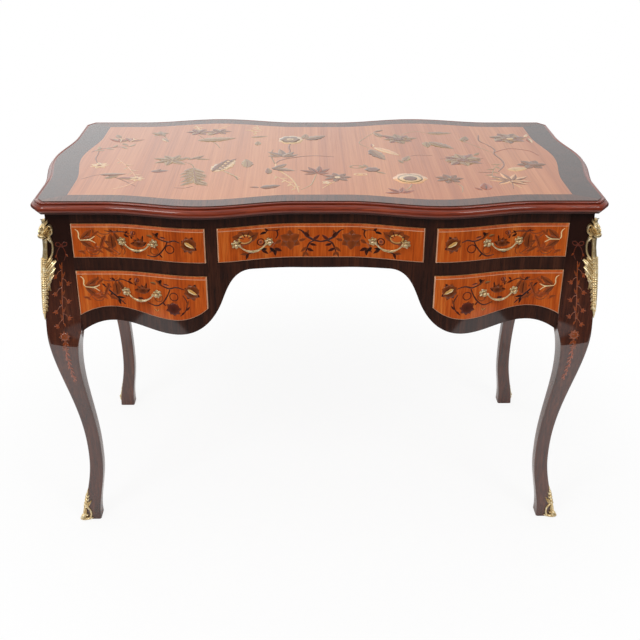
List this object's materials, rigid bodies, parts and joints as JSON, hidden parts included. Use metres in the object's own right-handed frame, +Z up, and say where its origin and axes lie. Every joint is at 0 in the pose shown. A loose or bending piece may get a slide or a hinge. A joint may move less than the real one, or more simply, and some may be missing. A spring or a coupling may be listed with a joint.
{
  "type": "writing desk",
  "caption": "Serpentine writing desk with drawers each side of a kneehole, floral marquetry, gilt bail handles and cabriole legs.",
  "frame": {"origin": "centre of the plan, on the floor", "axes": "+Z up, +X along the length to the viewer's right, drawers towards -Y"},
  "size_m": [1.1938, 0.6638, 0.79],
  "materials": {
    "dark_veneer": "polished dark veneer with a gloss varnish",
    "mahogany": "polished red mahogany",
    "tulipwood_marquetry": "gloss varnished orange tulipwood with floral marquetry",
    "field_marquetry": "gloss varnished pinkish veneer with floral marquetry",
    "interior_wood": "bare planed oak and pine",
    "gilt_bronze": "cast, chased and gilt, with dark hollows"
  },
  "bodies": {
    "desk": {"top_core": "interior_wood", "top_field_veneer": "field_marquetry", "top_crossband": "dark_veneer", "top_edge_moulding": "mahogany", "leg_front_left": "dark_veneer", "leg_front_right": "dark_veneer", "leg_back_left": "dark_veneer", "leg_back_right": "dark_veneer", "top_rail": "dark_veneer", "divider_rail_left": "dark_veneer", "divider_rail_right": "dark_veneer", "apron_left": "dark_veneer", "apron_right": "dark_veneer", "kneehole_stile_left": "dark_veneer", "kneehole_stile_right": "dark_veneer", "kneehole_frieze": "dark_veneer", "side_panel_left": "dark_veneer", "side_panel_right": "dark_veneer", "back_panel": "dark_veneer", "sham_drawer_fronts": "tulipwood_marquetry", "kneehole_panel_left": "dark_veneer", "kneehole_panel_right": "dark_veneer", "pedestal_bottom_left": "interior_wood", "pedestal_bottom_right": "interior_wood", "runners_left": "interior_wood", "runners_right": "interior_wood", "runners_centre": "interior_wood", "drawer_stops": "interior_wood", "kickers": "interior_wood", "glue_blocks": "interior_wood", "corner_mounts_front": "gilt_bronze", "corner_mounts_back": "gilt_bronze", "sabots_front": "gilt_bronze", "sabots_back": "gilt_bronze"},
    "drawer_upper_left": {"upper_left_front": "tulipwood_marquetry", "upper_left_sides": "interior_wood", "upper_left_bottom": "interior_wood", "upper_left_posts": "gilt_bronze"},
    "drawer_lower_left": {"lower_left_front": "tulipwood_marquetry", "lower_left_sides": "interior_wood", "lower_left_bottom": "interior_wood", "lower_left_posts": "gilt_bronze"},
    "drawer_centre": {"centre_front": "tulipwood_marquetry", "centre_sides": "interior_wood", "centre_bottom": "interior_wood", "centre_posts": "gilt_bronze"},
    "drawer_upper_right": {"upper_right_front": "tulipwood_marquetry", "upper_right_sides": "interior_wood", "upper_right_bottom": "interior_wood", "upper_right_posts": "gilt_bronze"},
    "drawer_lower_right": {"lower_right_front": "tulipwood_marquetry", "lower_right_sides": "interior_wood", "lower_right_bottom": "interior_wood", "lower_right_posts": "gilt_bronze"},
    "bail_upper_left": {"upper_left_bail": "gilt_bronze"},
    "bail_lower_left": {"lower_left_bail": "gilt_bronze"},
    "bail_centre_left": {"centre_left_bail": "gilt_bronze"},
    "bail_centre_right": {"centre_right_bail": "gilt_bronze"},
    "bail_upper_right": {"upper_right_bail": "gilt_bronze"},
    "bail_lower_right": {"lower_right_bail": "gilt_bronze"}
  },
  "joints": [
    {"name": "slide_upper_left", "type": "slide", "parent": "desk", "child": "drawer_upper_left", "axis": [0, -1, 0], "range_m": [0, 0.3]},
    {"name": "slide_lower_left", "type": "slide", "parent": "desk", "child": "drawer_lower_left", "axis": [0, -1, 0], "range_m": [0, 0.3]},
    {"name": "slide_centre", "type": "slide", "parent": "desk", "child": "drawer_centre", "axis": [0, -1, 0], "range_m": [0, 0.3]},
    {"name": "slide_upper_right", "type": "slide", "parent": "desk", "child": "drawer_upper_right", "axis": [0, -1, 0], "range_m": [0, 0.3]},
    {"name": "slide_lower_right", "type": "slide", "parent": "desk", "child": "drawer_lower_right", "axis": [0, -1, 0], "range_m": [0, 0.3]},
    {"name": "swing_upper_left", "type": "hinge", "parent": "drawer_upper_left", "child": "bail_upper_left", "pos_m": [-0.36965, -0.29747, 0.704], "axis": [-0.979, 0.2037, 0], "range_deg": [-15, 165]},
    {"name": "swing_lower_left", "type": "hinge", "parent": "drawer_lower_left", "child": "bail_lower_left", "pos_m": [-0.36965, -0.29747, 0.593], "axis": [-0.979, 0.2037, 0], "range_deg": [-15, 165]},
    {"name": "swing_centre_left", "type": "hinge", "parent": "drawer_centre", "child": "bail_centre_left", "pos_m": [-0.13609, -0.30277, 0.704], "axis": [-0.9725, -0.233, 0], "range_deg": [-15, 165]},
    {"name": "swing_centre_right", "type": "hinge", "parent": "drawer_centre", "child": "bail_centre_right", "pos_m": [0.13609, -0.30277, 0.704], "axis": [-0.9725, 0.233, 0], "range_deg": [-15, 165]},
    {"name": "swing_upper_right", "type": "hinge", "parent": "drawer_upper_right", "child": "bail_upper_right", "pos_m": [0.36965, -0.29747, 0.704], "axis": [-0.979, -0.2037, 0], "range_deg": [-15, 165]},
    {"name": "swing_lower_right", "type": "hinge", "parent": "drawer_lower_right", "child": "bail_lower_right", "pos_m": [0.36965, -0.29747, 0.593], "axis": [-0.979, -0.2037, 0], "range_deg": [-15, 165]}
  ]
}
